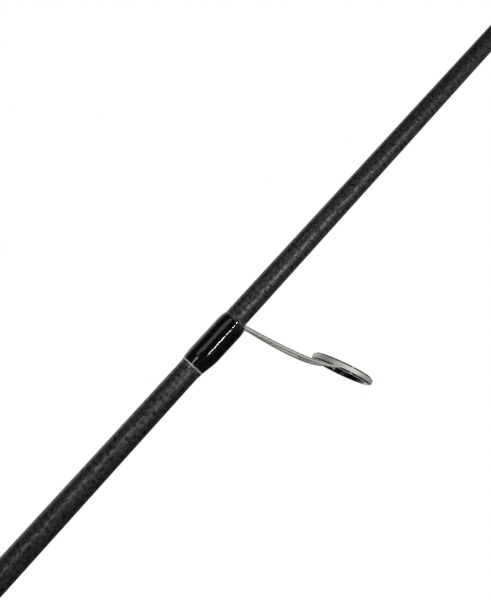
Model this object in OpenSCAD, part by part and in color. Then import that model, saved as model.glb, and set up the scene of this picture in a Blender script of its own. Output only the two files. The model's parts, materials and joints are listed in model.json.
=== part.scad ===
// Two-piece spinning rod, stood on its butt with the tip up.
// +Z runs from the butt to the tip, and the guides and the reel side face +X.
// The origin is the centre of the butt cap's end face. Sizes are in millimetres.

/* [Blank] */
// Overall length, butt cap to the end of the blank
rod_length = 1974; // [1960:2:1990]
// Blank diameter at the butt
butt_dia = 12.5; // [12.4:0.1:12.7]
// Blank diameter at the tip
tip_dia = 2; // [1.9:0.1:2.2]
// Bore of the blank at the butt
butt_bore = 10.1; // [9.8:0.1:10.2]
// Bore of the blank at the tip
tip_bore = 1; // [0.8:0.1:1.1]
// Height at which the two sections meet
joint_z = 1000; // [990:2:1010]
// Length of spigot inside the tip section
spigot_reach = 64; // [56:2:66]
// Length of spigot glued into the butt section
spigot_root = 70; // [60:2:80]
// Gap left between the two sections
joint_gap = 6; // [5:0.5:7]

/* [Handle] */
// Radius of the butt grip
grip_r = 13; // [12.8:0.1:13.4]
// Length of the butt cap
cap_len = 26; // [24:1:28]
// Length of the butt grip
butt_grip_len = 90; // [84:2:92]
// Length of the rear grip
rear_grip_len = 80; // [74:2:84]
// Length of the fore grip
fore_grip_len = 62; // [58:2:66]
// Length of each winding check
check_len = 4; // [3:0.5:5]

/* [Reel seat] */
// Height of the reel seat's butt end
seat_z = 300; // [298:1:302]
// Length of the reel seat
seat_len = 116; // [114:1:120]
// Radius of the threaded barrel
barrel_r = 10.8; // [10.7:0.05:10.9]
// Distance from the axis to the flat that the reel foot lies on
foot_flat = 9.3; // [9.2:0.05:9.4]
// Depth of each reel-foot pocket along the rod
pocket_len = 14; // [13:0.5:15]
// Height of the sliding hood's mouth above the seat's butt end
hood_rest = 44; // [43:0.5:46]

/* [Guides] */
// Outside diameter of the largest guide ring
stripper_ring = 25; // [24:0.5:26]
// Lean of the rings towards the tip
ring_lean = 15.5; // [14.5:0.1:17]
// Height of the largest ring's centre above the blank
stripper_height = 39.5; // [39:0.1:41]
// Height of the stripper guide's leg on the rod
stripper_z = 672; // [668:1:676]

/* [Hidden] */
$fn = 72;
slack = 0.05;           // radial running clearance of every moving fit
cut = 1;                // how far a cutting solid runs past a face

// ---- blank ----

blank_z = 6;
ferrule_z = joint_z + joint_gap;
spigot_top = ferrule_z + spigot_reach;

function blank_r(z) = (butt_dia - (butt_dia - tip_dia) * z / rod_length) / 2;
function bore_r(z) = (butt_bore - (butt_bore - tip_bore) * z / rod_length) / 2;

// A stretch of the blank's outer cone, grown outwards by some thickness.
module blank_cone(z0, z1, grow = 0)
  translate([0, 0, z0])
    cylinder(h = z1 - z0, r1 = blank_r(z0) + grow, r2 = blank_r(z1) + grow);

// A stretch of the blank's inner cone.
module bore_cone(z0, z1, grow = 0)
  translate([0, 0, z0])
    cylinder(h = z1 - z0, r1 = bore_r(z0) + grow, r2 = bore_r(z1) + grow);

// A collar of even thickness around the blank.
module blank_sleeve(z0, z1, thick)
  difference() {
    blank_cone(z0, z1, thick);
    blank_cone(z0 - cut, z1 + cut);
  }

module butt_blank()
  color("#2c2c2f")
    difference() {
      blank_cone(blank_z, joint_z);
      bore_cone(blank_z - cut, joint_z + cut);
    }

module tip_blank()
  color("#2c2c2f")
    difference() {
      blank_cone(ferrule_z, rod_length);
      bore_cone(ferrule_z - cut, rod_length + cut);
    }

// Solid spigot: a glued root, a free stretch with running clearance and a rounded nose.
module spigot()
  color("#3a3a3d") {
    nose = 1.2;
    bore_cone(joint_z - spigot_root, joint_z);
    bore_cone(joint_z, spigot_top - nose, -slack);
    translate([0, 0, spigot_top - nose])
      cylinder(h = nose, r1 = bore_r(spigot_top - nose) - slack, r2 = bore_r(spigot_top) - nose);
  }

// ---- handle ----

butt_grip_z = cap_len;
butt_grip_top = butt_grip_z + butt_grip_len;
rear_grip_z = seat_z - rear_grip_len;
seat_top = seat_z + seat_len;
fore_grip_top = seat_top + fore_grip_len;

// Points of a round-over, centre c, radius r, from angle a0 to a1.
function arc(c, r, a0, a1, n = 6) =
  [for (k = [0:n]) c + r * [cos(a0 + (a1 - a0) * k / n), sin(a0 + (a1 - a0) * k / n)]];

// Points of a smooth S-shaped neck from radius r0 at z0 to radius r1 at z1.
function neck(r0, z0, r1, z1, n = 8) =
  [for (k = [0:n]) [(r0 + r1) / 2 + (r0 - r1) / 2 * cos(180 * k / n), z0 + (z1 - z0) * k / n]];

// A turned sleeve on the blank: outline runs upwards from z0 to z1.
module turned_sleeve(outline, z0, z1)
  difference() {
    rotate_extrude()
      polygon(concat([[0, z0]], outline, [[0, z1]]));
    blank_cone(z0 - cut, z1 + cut);
  }

module butt_cap() {
  cap_r = grip_r - 0.4;
  edge = 3;
  groove_r = 0.7;
  color("#1b1b1c")
    difference() {
      rotate_extrude()
        polygon(concat([[0, 0]],
                       arc([cap_r - edge, edge], edge, -90, 0),
                       [[cap_r, cap_len], [0, cap_len]]));
      blank_cone(blank_z, cap_len + cut);
      for (z = [cap_len - 9, cap_len - 6, cap_len - 3])
        translate([0, 0, z])
          rotate_extrude()
            translate([cap_r + groove_r / 3, 0])
              circle(r = groove_r);
    }
}

module butt_grip() {
  waist = 10.4;
  neck_len = 20;
  chamfer = 0.6;
  color("#c9a071")
    turned_sleeve(
      concat([[grip_r - chamfer, butt_grip_z], [grip_r, butt_grip_z + chamfer]],
             neck(grip_r, butt_grip_top - neck_len, waist, butt_grip_top)),
      butt_grip_z, butt_grip_top);
}

// Turned metal ring that closes the end of a grip; the fat end faces the grip.
module winding_check(z, fat_r, thin_r, up)
  color("#8f9296") {
    z0 = up ? z : z - check_len;
    r0 = up ? fat_r : thin_r;
    r1 = up ? thin_r : fat_r;
    turned_sleeve([[r0 - 0.3, z0], [r0, z0 + 0.3], [r1, z0 + check_len - 0.3],
                   [r1 - 0.3, z0 + check_len]],
                  z0, z0 + check_len);
  }

module rear_grip() {
  tail_r = 9.4;
  seat_end_r = 12.6;
  color("#c9a071")
    turned_sleeve(
      concat(neck(tail_r, rear_grip_z, seat_end_r, rear_grip_z + 0.7 * rear_grip_len),
             [[seat_end_r, seat_z]]),
      rear_grip_z, seat_z);
}

module fore_grip() {
  seat_end_r = 12.4;
  nose_r = 8;
  color("#c9a071")
    turned_sleeve(
      concat([[seat_end_r - 0.6, seat_top], [seat_end_r, seat_top + 0.6]],
             neck(seat_end_r, seat_top + 8, nose_r, fore_grip_top)),
      seat_top, fore_grip_top);
}

// ---- reel seat ----

// The hoods are round shells set off-centre towards the reel side.
hood_shift = 1.6;
pocket_r = 12.9;
housing_r = 13.7;
shell_r = 14.5;
arbor_r = 8;
housing_len = 23;
hood_len = 22;
hood_z = seat_z + hood_rest;
pitch = 2.5;
nut_turns = 10;

module off_centre(z, h, r)
  translate([hood_shift, 0, z])
    cylinder(h = h, r = r);

// The barrel with the flat that the reel foot lies on, grown by a clearance.
module keyed_barrel(z0, z1, grow = 0)
  difference() {
    translate([0, 0, z0])
      cylinder(h = z1 - z0, r = barrel_r + grow);
    translate([foot_flat + grow, -barrel_r - cut, z0 - cut])
      cube([barrel_r, 2 * (barrel_r + cut), z1 - z0 + 2 * cut]);
  }

module seat_body() {
  floor_len = housing_len - pocket_len;
  color("#1f1f21")
    difference() {
      union() {
        keyed_barrel(seat_z, seat_top);
        off_centre(seat_z, floor_len, housing_r);
        difference() {
          off_centre(seat_z + floor_len, pocket_len, housing_r);
          off_centre(seat_z, housing_len + cut, pocket_r);
        }
      }
      translate([0, 0, seat_z - cut])
        cylinder(h = seat_len + 2 * cut, r = arbor_r);
    }
}

module arbor(z, len)
  color("#6f6f70")
    difference() {
      translate([0, 0, z])
        cylinder(h = len, r = arbor_r);
      blank_cone(z - cut, z + len + cut);
    }

// Metal shell over the seat's housing, with a lip at the mouth of the pocket.
module fixed_hood() {
  overhang = 1;
  skirt = 3;
  color("#55585c")
    difference() {
      off_centre(seat_z + skirt, housing_len - skirt + overhang, shell_r);
      off_centre(seat_z, housing_len, housing_r);
      off_centre(seat_z, housing_len + overhang + cut, pocket_r);
      keyed_barrel(seat_z, seat_z + housing_len + overhang + cut);
    }
}

nut_neck_r = 11.35;
nut_flange_r = 11.95;
flange_len = 1.4;
hood_back = 1.4;
hood_gap = 0.3;
flange_room = flange_len + 2 * hood_gap;

// Metal shell that slides on the barrel; its back wall holds the nut's flange.
module sliding_hood()
  color("#55585c")
    difference() {
      off_centre(hood_z, hood_len, shell_r);
      off_centre(hood_z - cut, hood_len - hood_back + cut, housing_r);
      translate([0, 0, hood_z])
        cylinder(h = hood_len + cut, r = nut_neck_r + 0.1);
    }

// Moulded liner keyed to the flat, with the pocket for the reel foot.
module hood_liner() {
  liner_len = hood_len - hood_back - flange_room;
  color("#1f1f21")
    difference() {
      off_centre(hood_z, liner_len, housing_r);
      keyed_barrel(hood_z - cut, hood_z + liner_len + cut, slack);
      off_centre(hood_z - cut, pocket_len + cut, pocket_r);
    }
}

nut_z = hood_z + hood_len + hood_gap;
nut_len = 18;
nut_r = 13.2;

// Knurled lock nut with a neck and a flange captive in the hood.
module lock_nut() {
  flutes = 24;
  flute_r = 0.9;
  flange_z = hood_z + hood_len - hood_back - hood_gap - flange_len;
  color("#2a2b2d")
    difference() {
      union() {
        rotate_extrude()
          polygon([[0, nut_z], [nut_r - 0.6, nut_z], [nut_r, nut_z + 0.6],
                   [nut_r, nut_z + nut_len - 0.6], [nut_r - 0.6, nut_z + nut_len],
                   [0, nut_z + nut_len]]);
        translate([0, 0, flange_z])
          cylinder(h = nut_z - flange_z + cut, r = nut_neck_r);
        translate([0, 0, flange_z])
          cylinder(h = flange_len, r = nut_flange_r);
      }
      translate([0, 0, flange_z - cut])
        cylinder(h = nut_z + nut_len - flange_z + 2 * cut, r = barrel_r + slack);
      for (k = [0:flutes - 1])
        rotate([0, 0, 360 * k / flutes])
          translate([nut_r + flute_r / 3, 0, nut_z + 3])
            cylinder(h = nut_len - 6, r = flute_r);
    }
}

// Polished ring pressed on the nut's tip end.
module nut_ring() {
  len = 2;
  z = nut_z + nut_len;
  color("#b9a36a")
    difference() {
      translate([0, 0, z])
        cylinder(h = len, r = nut_r - 0.4);
      translate([0, 0, z - cut])
        cylinder(h = len + 2 * cut, r = barrel_r + slack);
    }
}

// ---- hook keeper, on the side away from the guides ----

keeper_z = 512;
keeper_r = blank_r(keeper_z);
keeper_pin_x = keeper_r + 2.2;
wire_r = 0.55;
loop_r = 2.3;
loop_drop = 7;
keeper_foot = 12;
keeper_wrap_len = 8;

module keeper_base() {
  tube_r = 1.4;
  tube_len = 3;
  foot_w = 2.6;
  foot_h = 0.6;
  color("#b8babd")
    mirror([1, 0, 0])
      difference() {
        union() {
          translate([0, -foot_w / 2, keeper_z - keeper_foot])
            cube([keeper_r + foot_h, foot_w, 2 * keeper_foot]);
          translate([0, -tube_len / 2, keeper_z - tube_r])
            cube([keeper_pin_x, tube_len, 2 * tube_r]);
          translate([keeper_pin_x, tube_len / 2, keeper_z])
            rotate([90, 0, 0])
              cylinder(h = tube_len, r = tube_r);
        }
        blank_cone(keeper_z - 2 * keeper_foot, keeper_z + 2 * keeper_foot);
        translate([keeper_pin_x, tube_len, keeper_z])
          rotate([90, 0, 0])
            cylinder(h = 2 * tube_len, r = wire_r + slack);
      }
}

// Bent wire: a pin through the tube, two arms and a round end, hanging to the butt.
module keeper_loop()
  color("#d5d7da")
    translate([-keeper_pin_x, 0, keeper_z]) {
      rotate([90, 0, 0])
        cylinder(h = 2 * loop_r, r = wire_r, center = true);
      for (side = [-1, 1])
        translate([0, side * loop_r, -loop_drop]) {
          cylinder(h = loop_drop, r = wire_r);
          translate([0, 0, loop_drop])
            sphere(r = wire_r);
        }
      translate([0, 0, -loop_drop])
        rotate([90, 0, 90])
          rotate_extrude(angle = 180, start = 180)
            translate([loop_r, 0])
              circle(r = wire_r);
    }

module keeper_wrap_solid(grow, over) {
  for (z = [keeper_z - keeper_foot - 1, keeper_z + keeper_foot + 1 - keeper_wrap_len])
    translate([0, 0, z - over])
      cylinder(h = keeper_wrap_len + 2 * over, r = keeper_r + 0.75 + grow);
}

module keeper_wraps()
  color("#111115")
    difference() {
      keeper_wrap_solid(0.1, 0);
      blank_cone(keeper_z - 2 * keeper_foot, keeper_z + 2 * keeper_foot);
      keeper_base();
    }

module keeper_epoxy()
  color("#23242a")
    difference() {
      keeper_wrap_solid(0.35, 0.6);
      keeper_wrap_solid(0.1, 0);
      blank_cone(keeper_z - 2 * keeper_foot, keeper_z + 2 * keeper_foot);
      keeper_base();
    }

// ---- ferrule windings ----

thread = 0.3;
ferrule_wrap_len = 18;
ferrule_coat = 0.25;
lip_len = 1.5;

module ferrule_wrap(z0, z1)
  color("#111115")
    blank_sleeve(z0, z1, thread);

// Clear coat over a ferrule winding; it stops level with the end of the section.
module ferrule_epoxy(z0, z1, below, above)
  color("#23242a")
    difference() {
      blank_cone(z0 - below, z1 + above, thread + ferrule_coat);
      blank_cone(z0, z1, thread);
      blank_cone(z0 - below - cut, z1 + above + cut);
    }

// ---- guides ----

ring_size = [stripper_ring, 16, 10, 8, 6, 6];
ring_height = [stripper_height, 25.5, 16, 12, 8.4, 7.8];
leg_z = [stripper_z, 1080, 1335, 1545, 1718, 1860];
leg_slope = 0.358;      // how far a ring's centre lies tipwards, per unit of height

function base_r(i) = blank_r(leg_z[i]);
function ring_x(i) = base_r(i) + ring_height[i];
function ring_z(i) = leg_z[i] + leg_slope * ring_height[i];
function collar_len(n) = 0.75 + 0.042 * n;
function lip(n) = 0.2 + 0.012 * n;
function collar_bore(n) = n / 2 - 0.35 - 0.022 * n;
function insert_bore(n) = collar_bore(n) - 0.6 - 0.042 * n;
function sheet(n) = 0.6 + 0.024 * n;
function arm_width(n) = 0.9 + 0.052 * n;
function foot_len(n) = 5 + 0.68 * n;
function foot_width(n) = 2 + 0.05 * n;
function foot_height(n) = 0.35 + 0.018 * n;

// Puts a child into a ring's own frame: X up the ring, Z along its axis to the tip.
module at_ring(x, z)
  translate([x, 0, z])
    rotate([0, -ring_lean, 0])
      children();

// Fat washer with a rounded rim, lying on its own axis.
module collar(n) {
  half = collar_len(n) / 2;
  rim = 0.25;
  difference() {
    rotate_extrude()
      polygon(concat([[0, -half]],
                     arc([n / 2 - rim, -half + rim], rim, -90, 0, 3),
                     arc([n / 2 - rim, half - rim], rim, 0, 90, 3),
                     [[0, half]]));
    cylinder(h = 4 * half, r = collar_bore(n), center = true);
  }
}

// Ceramic ring: square where it sits in the collar, round-nosed where the line runs.
module ceramic_ring(n) {
  half = collar_len(n) / 2 + lip(n);
  nose = (collar_bore(n) - insert_bore(n)) / 2;
  color("#0c0c0e")
    rotate_extrude()
      union() {
        translate([insert_bore(n) + nose, -half])
          square([nose, 2 * half]);
        translate([insert_bore(n), -half + nose])
          square([nose, 2 * (half - nose)]);
        for (side = [-1, 1])
          translate([insert_bore(n) + nose, side * (half - nose)])
            circle(r = nose);
      }
}

function bezier(p, t) =
  pow(1 - t, 3) * p[0] + 3 * t * pow(1 - t, 2) * p[1] + 3 * t * t * (1 - t) * p[2] + pow(t, 3) * p[3];

// Centre line of the leg in the XZ plane, from inside the blank to the side of the collar.
function leg_curve(i) =
  let (n = ring_size[i],
       lean = ring_lean,
       foot = [base_r(i) - 0.4, leg_z[i]],
       along = -0.32 * n / 2,
       behind = -0.27 * collar_len(n),
       top = [ring_x(i) + along * cos(lean) - behind * sin(lean),
              ring_z(i) + along * sin(lean) + behind * cos(lean)],
       reach = norm(top - foot))
  [foot,
   foot + 0.6 * reach * [cos(lean - 3.3), sin(lean - 3.3)],
   top - 0.15 * reach * [cos(lean + 29), sin(lean + 29)],
   top];

// Outline of the bent sheet seen from the side: the curve offset both ways, thicker at the foot.
function leg_outline(i, steps = 14) =
  let (p = leg_curve(i),
       dt = 0.001,
       side = function (k, s)
         let (t = k / steps,
              half = sheet(ring_size[i]) / 2 * (1.42 - 0.5 * t),
              d = bezier(p, min(t + dt, 1)) - bezier(p, max(t - dt, 0)),
              u = d / norm(d))
         bezier(p, t) + s * half * [-u[1], u[0]])
  concat([for (k = [0:steps]) side(k, 1)], [for (k = [steps:-1:0]) side(k, -1)]);

// Front view of the two arms: from the foot to a tangent on the collar, with the gap cut out.
module arm_outline(i) {
  n = ring_size[i];
  ring = n / 2;
  half = foot_width(n) / 2;
  drop = ring_height[i] * (cos(ring_lean) + leg_slope * sin(ring_lean)) + 1.5;
  bearing = 180 - atan(half / drop) - acos(ring / norm([drop, half]));
  touch = ring * [cos(bearing), sin(bearing)];
  slope = (touch[1] - half) / (touch[0] + drop);
  inset = arm_width(n) * sqrt(1 + slope * slope);
  apex = (inset - half) / slope - drop;
  difference() {
    polygon([[-drop, -half], [touch[0], -touch[1]], [touch[0], touch[1]], [-drop, half]]);
    polygon([[apex, 0], [touch[0] + cut, (touch[0] + cut - apex) * slope],
             [touch[0] + cut, (apex - touch[0] - cut) * slope]]);
  }
}

// Tapered foot that the winding holds on the blank.
module guide_foot(i) {
  n = ring_size[i];
  len = foot_len(n);
  toe = 0.5 * foot_width(n) / 2;
  top = base_r(i) + foot_height(n);
  intersection() {
    rotate([90, 0, 0])
      linear_extrude(height = 2 * foot_width(n), center = true)
        polygon([[base_r(i) - 1, leg_z[i] - len], [base_r(i) + 0.2, leg_z[i] - len],
                 [top, leg_z[i] - 0.4 * len], [top, leg_z[i] - 1.4],
                 [top + 1, leg_z[i] - 0.4], [top + 1, leg_z[i]], [base_r(i) - 1, leg_z[i]]]);
    rotate([0, 90, 0])
      linear_extrude(height = base_r(i) + n)
        polygon([[-leg_z[i], -foot_width(n) / 2], [-leg_z[i] + len * 0.6, -foot_width(n) / 2],
                 [-leg_z[i] + len, -toe], [-leg_z[i] + len, toe],
                 [-leg_z[i] + len * 0.6, foot_width(n) / 2], [-leg_z[i], foot_width(n) / 2]]);
  }
}

// Foot and arms of a guide, before the collar is added.
module guide_stem(i) {
  n = ring_size[i];
  guide_foot(i);
  intersection() {
    rotate([90, 0, 0])
      linear_extrude(height = 2 * n, center = true)
        polygon(leg_outline(i));
    at_ring(ring_x(i), ring_z(i))
      linear_extrude(height = n, center = true)
        arm_outline(i);
  }
}

module guide_frame(i)
  color("#c4c6c8")
    difference() {
      union() {
        guide_stem(i);
        at_ring(ring_x(i), ring_z(i))
          collar(ring_size[i]);
      }
      at_ring(ring_x(i), ring_z(i))
        cylinder(h = ring_size[i] / 2, r = collar_bore(ring_size[i]), center = true);
      blank_cone(leg_z[i] - 2 * foot_len(ring_size[i]), leg_z[i] + 5);
    }

module guide_insert(i)
  at_ring(ring_x(i), ring_z(i))
    ceramic_ring(ring_size[i]);

trim_len = 0.7;
trim_thick = 0.2;

function wrap_z(i) = leg_z[i] - foot_len(ring_size[i]) - 1.4;
function wrap_top(i) = leg_z[i] - 0.9;
function coat(i) = 0.15 + 0.01 * ring_size[i];

// A winding hugs the foot, so its outside is a cylinder set off towards the guide.
module wrap_solid(i) {
  rise = foot_height(ring_size[i]);
  translate([rise / 2, 0, wrap_z(i)])
    cylinder(h = wrap_top(i) - wrap_z(i), r = blank_r(wrap_z(i)) + rise / 2 + thread);
}

module guide_wrap(i)
  color("#0f0f14")
    difference() {
      wrap_solid(i);
      guide_stem(i);
      blank_cone(wrap_z(i) - cut, wrap_top(i) + cut);
    }

// Band of metallic thread at the butt end of a winding.
module trim_band(i)
  color("#cfc7a4")
    blank_sleeve(wrap_z(i) - trim_len, wrap_z(i), trim_thick);

// Clear coat over winding and trim band: a ramp at the butt end, a blunt shoulder at the leg.
module guide_epoxy(i) {
  n = ring_size[i];
  shift = foot_height(n) / 2;
  wound = blank_r(wrap_z(i)) + shift + thread;
  full = wound + coat(i);
  shoulder = full - 0.3 * coat(i);
  ends = wound - thread + 0.08;
  z0 = wrap_z(i) - trim_len - 0.5 - 0.06 * n;
  z1 = leg_z[i] - 0.4;
  ramp = 0.5 + 0.03 * n;
  color("#23242a")
    difference() {
      translate([shift, 0, 0])
        rotate_extrude()
          polygon([[0, z0], [ends, z0], [shoulder, z0 + ramp], [full, z0 + 2 * ramp],
                   [full, z1 - 2 * ramp], [shoulder, z1 - ramp], [wound + 0.1, z1], [0, z1]]);
      wrap_solid(i);
      blank_cone(wrap_z(i) - trim_len, wrap_z(i), trim_thick);
      guide_stem(i);
      blank_cone(z0 - cut, z1 + cut);
    }
}

module tip_trims()
  for (i = [1:5])
    trim_band(i);

// ---- tip-top ----

tip_ring = 6;
tube_len = 13;
tube_z = rod_length - tube_len + 2;
tube_r = 1.75;
tip_ring_x = tube_r + tip_ring / 2 - 0.3;
tip_ring_z = rod_length + 3.2;

// Two bars that spread from the tube's sides to the sides of the collar.
module tip_struts() {
  reach = 7;
  intersection() {
    rotate([90, 0, 0])
      linear_extrude(height = 2 * tip_ring, center = true)
        polygon([[0.4, tube_z + 4], [tip_ring_x + 0.3, tip_ring_z - 0.7],
                 [tip_ring_x, tip_ring_z + 0.2], [0.4, tube_z + 6]]);
    at_ring(tip_ring_x, tip_ring_z)
      linear_extrude(height = 3 * tube_len, center = true)
        difference() {
          polygon([[-reach, -1.5], [0, 0.1 - tip_ring / 2], [0, tip_ring / 2 - 0.1], [-reach, 1.5]]);
          polygon([[-reach, 0], [cut, -2.2], [cut, 2.2]]);
        }
  }
}

// Gusset between the tube's top and the near side of the collar.
module tip_gusset()
  rotate([90, 0, 0])
    linear_extrude(height = 1.5, center = true)
      polygon([[0, tube_z + tube_len - 3], [tube_r, tube_z + tube_len - 3],
               [tip_ring_x - 2.2, tip_ring_z - 0.9], [tip_ring_x - 2.75, tip_ring_z - 0.4],
               [0, tube_z + tube_len]]);

// Tube that caps the blank, with the last ring's collar on it.
module tip_top_frame()
  color("#c4c6c8")
    difference() {
      union() {
        translate([0, 0, tube_z])
          cylinder(h = tube_len, r = tube_r);
        tip_struts();
        tip_gusset();
        at_ring(tip_ring_x, tip_ring_z)
          collar(tip_ring);
      }
      blank_cone(tube_z - cut, rod_length);
      at_ring(tip_ring_x, tip_ring_z)
        cylinder(h = 3 * tube_len, r = collar_bore(tip_ring), center = true);
    }

module tip_top_insert()
  at_ring(tip_ring_x, tip_ring_z)
    ceramic_ring(tip_ring);

tip_wrap_len = 6;

module tip_top_wrap()
  color("#0f0f14")
    blank_sleeve(tube_z - tip_wrap_len, tube_z, thread);

module tip_top_epoxy()
  color("#23242a")
    difference() {
      blank_cone(tube_z - tip_wrap_len - lip_len, tube_z, thread + 0.2);
      blank_cone(tube_z - tip_wrap_len, tube_z + cut, thread);
      blank_cone(tube_z - tip_wrap_len - 2 * lip_len, tube_z + cut);
    }

// ---- the assembly ----

butt_cap();
butt_grip();
winding_check(butt_grip_top, 10.2, 7.6, true);  // butt_check
winding_check(rear_grip_z, 9.2, 7.4, false);  // rear_check
rear_grip();
seat_body();
arbor(seat_z + 4, 46);  // rear_arbor
arbor(seat_top - 50, 46);  // front_arbor
fixed_hood();
sliding_hood();
hood_liner();
lock_nut();
nut_ring();
fore_grip();
winding_check(fore_grip_top, 7.8, 6, true);  // fore_check
butt_blank();
spigot();
tip_blank();
keeper_base();
keeper_loop();
keeper_wraps();
keeper_epoxy();
ferrule_wrap(joint_z - ferrule_wrap_len, joint_z);  // lower_ferrule_wrap
ferrule_epoxy(joint_z - ferrule_wrap_len, joint_z, lip_len, 0);  // lower_ferrule_epoxy
ferrule_wrap(ferrule_z, ferrule_z + ferrule_wrap_len);  // upper_ferrule_wrap
ferrule_epoxy(ferrule_z, ferrule_z + ferrule_wrap_len, 0, lip_len);  // upper_ferrule_epoxy
guide_frame(0);  // guide_1_frame
guide_insert(0);  // guide_1_insert
guide_wrap(0);  // guide_1_wrap
trim_band(0);  // guide_1_trim
guide_epoxy(0);  // guide_1_epoxy
guide_frame(1);  // guide_2_frame
guide_insert(1);  // guide_2_insert
guide_wrap(1);  // guide_2_wrap
guide_epoxy(1);  // guide_2_epoxy
guide_frame(2);  // guide_3_frame
guide_insert(2);  // guide_3_insert
guide_wrap(2);  // guide_3_wrap
guide_epoxy(2);  // guide_3_epoxy
guide_frame(3);  // guide_4_frame
guide_insert(3);  // guide_4_insert
guide_wrap(3);  // guide_4_wrap
guide_epoxy(3);  // guide_4_epoxy
guide_frame(4);  // guide_5_frame
guide_insert(4);  // guide_5_insert
guide_wrap(4);  // guide_5_wrap
guide_epoxy(4);  // guide_5_epoxy
guide_frame(5);  // guide_6_frame
guide_insert(5);  // guide_6_insert
guide_wrap(5);  // guide_6_wrap
guide_epoxy(5);  // guide_6_epoxy
tip_trims();
tip_top_frame();
tip_top_insert();
tip_top_wrap();
tip_top_epoxy();
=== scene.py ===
"""Looks of a two-piece spinning rod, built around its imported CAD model.

+Z runs from the butt to the tip and the guides face +X. Sizes are in millimetres until a mesh is made.
"""

import json
import math

import bmesh
import bpy
import numpy as np
from mathutils import Matrix, Vector

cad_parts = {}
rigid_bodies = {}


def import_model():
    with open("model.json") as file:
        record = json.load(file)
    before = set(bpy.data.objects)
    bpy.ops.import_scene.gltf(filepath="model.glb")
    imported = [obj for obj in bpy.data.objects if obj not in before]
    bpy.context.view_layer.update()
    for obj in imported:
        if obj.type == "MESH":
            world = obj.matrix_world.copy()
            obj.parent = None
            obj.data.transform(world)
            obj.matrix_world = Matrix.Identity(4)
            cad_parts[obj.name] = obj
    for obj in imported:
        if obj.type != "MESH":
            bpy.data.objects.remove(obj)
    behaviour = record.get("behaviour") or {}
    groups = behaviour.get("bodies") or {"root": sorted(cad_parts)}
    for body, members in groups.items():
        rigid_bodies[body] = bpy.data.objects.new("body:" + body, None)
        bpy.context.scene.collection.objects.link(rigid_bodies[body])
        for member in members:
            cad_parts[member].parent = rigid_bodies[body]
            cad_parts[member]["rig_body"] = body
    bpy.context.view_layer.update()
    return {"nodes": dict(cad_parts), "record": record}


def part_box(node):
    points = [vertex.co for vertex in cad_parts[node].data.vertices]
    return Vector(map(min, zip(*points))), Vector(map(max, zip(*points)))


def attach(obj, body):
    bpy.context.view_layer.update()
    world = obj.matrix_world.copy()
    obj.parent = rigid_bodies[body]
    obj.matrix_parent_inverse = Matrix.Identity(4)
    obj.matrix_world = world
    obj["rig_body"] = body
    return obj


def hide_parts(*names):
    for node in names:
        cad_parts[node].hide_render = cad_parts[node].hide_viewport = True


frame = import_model()

MM = 0.001
TURN = 2 * math.pi


# ---- sizes read from the frame ----

def box(node):
    """Lowest and highest corner of a CAD node, in millimetres."""
    lo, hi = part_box(node)
    return np.array(lo) / MM, np.array(hi) / MM


BUTT_LO, BUTT_HI = box("butt_blank")
TIP_LO, TIP_HI = box("tip_blank")
ROD_TOP = TIP_HI[2]


def blank_radius(z):
    """Outer radius of the tapered blank at a height."""
    share = (z - BUTT_LO[2]) / (TIP_LO[2] - BUTT_LO[2])
    return BUTT_HI[0] + (TIP_HI[0] - BUTT_HI[0]) * share


def wall(z):
    """Wall of the blank, thinner towards the tip."""
    return 1.2 - 0.7 * z / ROD_TOP


def smooth(x, lo, hi):
    """0 below lo, 1 above hi, and an S-curve between."""
    t = np.clip((np.asarray(x, float) - lo) / (hi - lo), 0, 1)
    return t * t * (3 - 2 * t)


# ---- meshes ----

def loft(rings, closed=True):
    """Points and faces of a skin over rings of equal length. Closed joins the last ring to the first."""
    rings = np.asarray(rings, float)
    count, around = rings.shape[:2]
    index = np.arange(count * around).reshape(count, around)
    lower = index if closed else index[:-1]
    upper = np.roll(index, -1, axis=0) if closed else index[1:]
    quads = np.stack([lower, np.roll(lower, -1, 1), np.roll(upper, -1, 1), upper], axis=-1)
    faces = quads.reshape(-1, 4).tolist()
    if not closed:
        faces += [index[0][::-1].tolist(), index[-1].tolist()]
    return rings.reshape(-1, 3), faces


def angles(around):
    """Evenly spaced angles of one turn."""
    return np.linspace(0, TURN, around, endpoint=False)


def ring_at(turn, radius, z, shift=0.0):
    """Points round the rod's axis at a height; shift moves the ring along X."""
    radius = np.broadcast_to(radius, turn.shape)
    return np.stack([radius * np.cos(turn) + shift, radius * np.sin(turn), np.full_like(turn, z)], -1)


def sleeve(heights, outer, inner, around=96):
    """A closed tube on the rod's axis. Outer gives a radius for angles and a height, inner for a height."""
    turn = angles(around)
    rings = [(outer(turn, z), z) for z in heights]
    rings += [(inner(z), z) for z in (heights[-1], heights[0])]
    return loft([ring_at(turn, r, z) for r, z in rings])


def turned(outline, around=96):
    """A turned solid from a closed outline of (radius, height) or (radius, height, shift) points."""
    turn = angles(around)
    return loft([ring_at(turn, *point) for point in outline])


def arc(x, z, radius, start, end, count=16):
    """Points of an arc in an outline, from one angle to another about its centre."""
    return [(x + radius * math.cos(a), z + radius * math.sin(a)) for a in np.linspace(start, end, count)]


def rounded(outline, radius, steps=4):
    """Rounds the corners of a closed outline. Radius is one number, or one for each corner."""
    points = [np.array(p, float) for p in outline]
    radii = np.broadcast_to(radius, len(points))
    out = []
    for i, corner in enumerate(points):
        before = points[i - 1] - corner
        after = points[(i + 1) % len(points)] - corner
        reach = min(radii[i], 0.45 * np.linalg.norm(before), 0.45 * np.linalg.norm(after))
        start = corner + before / np.linalg.norm(before) * reach
        end = corner + after / np.linalg.norm(after) * reach
        if reach < 1e-4:
            out.append(corner)
            continue
        for t in np.linspace(0, 1, steps + 1):
            out.append((1 - t) ** 2 * start + 2 * t * (1 - t) * corner + t * t * end)
    return [tuple(p) for p in out]


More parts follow.
